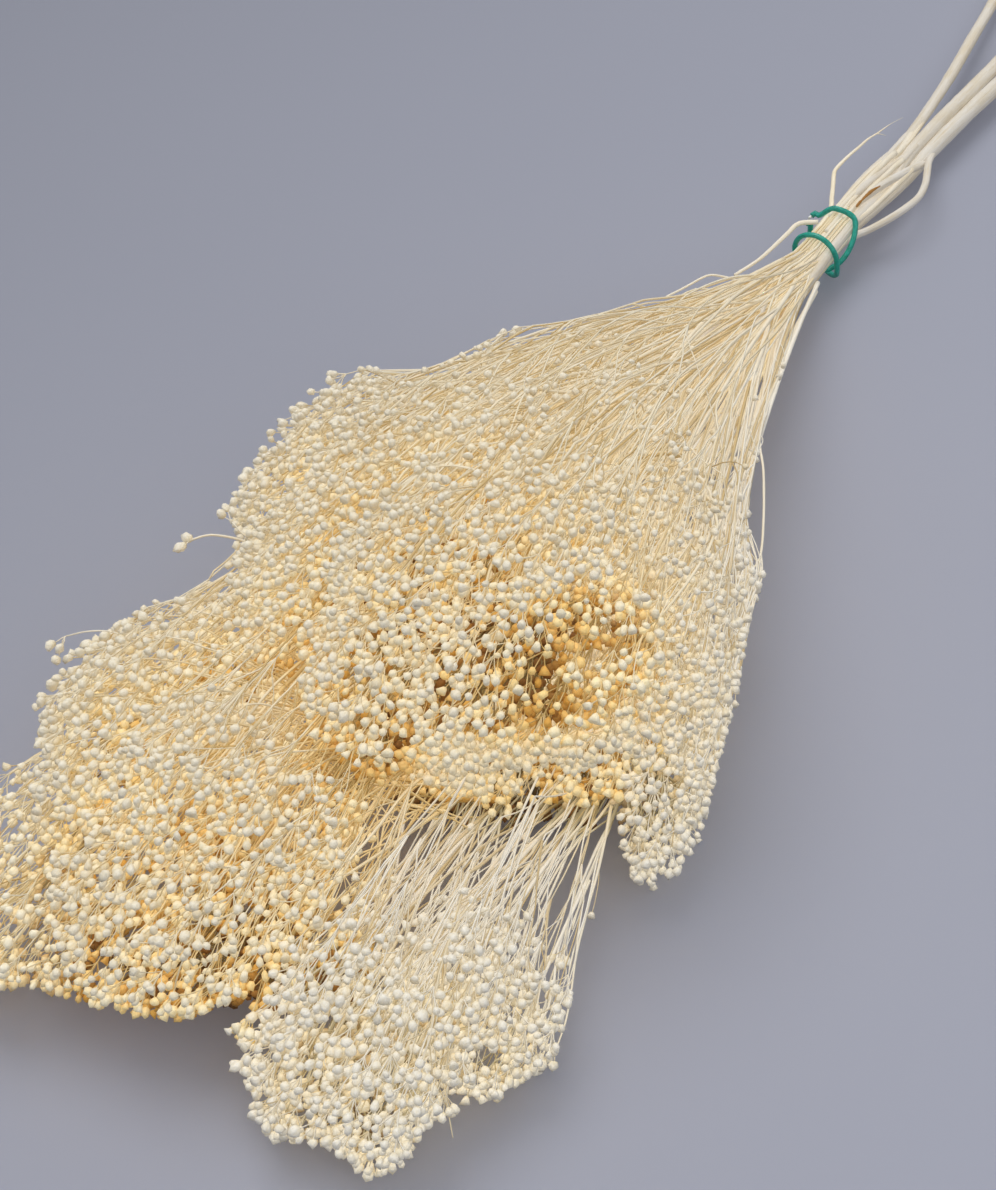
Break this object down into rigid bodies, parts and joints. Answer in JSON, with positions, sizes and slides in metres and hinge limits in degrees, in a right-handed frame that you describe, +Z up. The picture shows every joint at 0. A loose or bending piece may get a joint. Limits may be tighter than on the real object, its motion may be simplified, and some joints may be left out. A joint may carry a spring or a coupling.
{
  "type": "dried broom bloom bunch",
  "caption": "Tied bunch of bleached dried broom bloom, lying down: pale woody stems held by a green wire, fanning into dense sprays of tiny round buds.",
  "frame": {"origin": "on the surface that the bunch lies on, under the middle of its bounding box", "axes": "+X along the bunch towards the cut ends of the stems, -X towards the flowers, +Z up from the surface"},
  "size_m": [0.6219, 0.1683, 0.1064],
  "materials": {
    "stem": "bleached dry stem, matt, with fine lengthwise fibres",
    "bloom": "dry papery buds and hair-fine stalks, matt cream with honey-coloured depths",
    "tie": "teal-green plastic-coated wire, slightly glossy and worn"
  },
  "bodies": {
    "root": {"stem_left": "stem", "stem_middle": "stem", "stem_right": "stem", "upper_spray_01": "bloom", "upper_spray_02": "bloom", "upper_spray_03": "bloom", "upper_spray_04": "bloom", "upper_spray_05": "bloom", "upper_spray_06": "bloom", "upper_spray_07": "bloom", "upper_spray_08": "bloom", "upper_spray_09": "bloom", "upper_spray_10": "bloom", "upper_spray_11": "bloom", "upper_spray_12": "bloom", "upper_spray_13": "bloom", "upper_spray_14": "bloom", "upper_spray_15": "bloom", "left_spray_01": "bloom", "left_spray_02": "bloom", "middle_spray_01": "bloom", "middle_spray_02": "bloom", "middle_spray_03": "bloom", "middle_spray_04": "bloom", "middle_spray_05": "bloom", "middle_spray_06": "bloom", "middle_spray_07": "bloom", "middle_spray_08": "bloom", "far_spray_01": "bloom", "far_spray_02": "bloom", "front_spray_01": "bloom", "front_spray_02": "bloom", "front_spray_03": "bloom", "front_spray_04": "bloom", "front_spray_05": "bloom", "front_spray_06": "bloom", "right_spray_01": "bloom", "right_spray_02": "bloom", "right_spray_03": "bloom", "under_spray_01": "bloom", "under_spray_02": "bloom", "under_spray_03": "bloom", "under_spray_04": "bloom", "tie_wire": "tie", "kinked_twig": "stem"}
  },
  "joints": []
}
